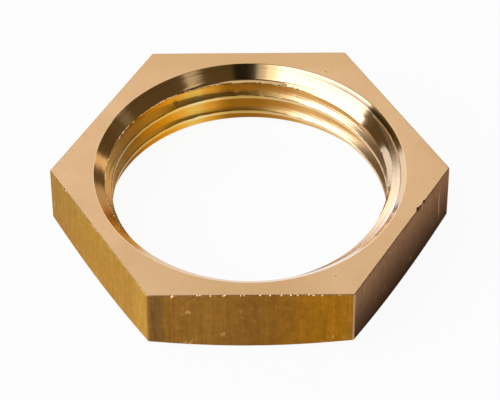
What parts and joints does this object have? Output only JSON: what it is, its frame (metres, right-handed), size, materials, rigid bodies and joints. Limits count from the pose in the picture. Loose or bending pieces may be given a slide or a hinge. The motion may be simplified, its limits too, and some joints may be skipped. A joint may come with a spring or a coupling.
{
  "type": "lock nut",
  "caption": "Thin hexagon pipe lock nut in turned brass, with a coarse internal pipe thread, a wide countersunk mouth and a chamfered seat.",
  "frame": {"origin": "on the thread axis, in the plane of the seat", "axes": "+Z along the thread axis from the seat to the countersunk top face, +X through a corner of the hexagon, +Y square to a flat"},
  "size_m": [0.0438, 0.038, 0.008],
  "materials": {
    "brass": "plain turned brass: satin faces, drawn flats, bright turned countersink and thread"
  },
  "bodies": {
    "root": {"lock_nut": "brass"}
  },
  "joints": []
}
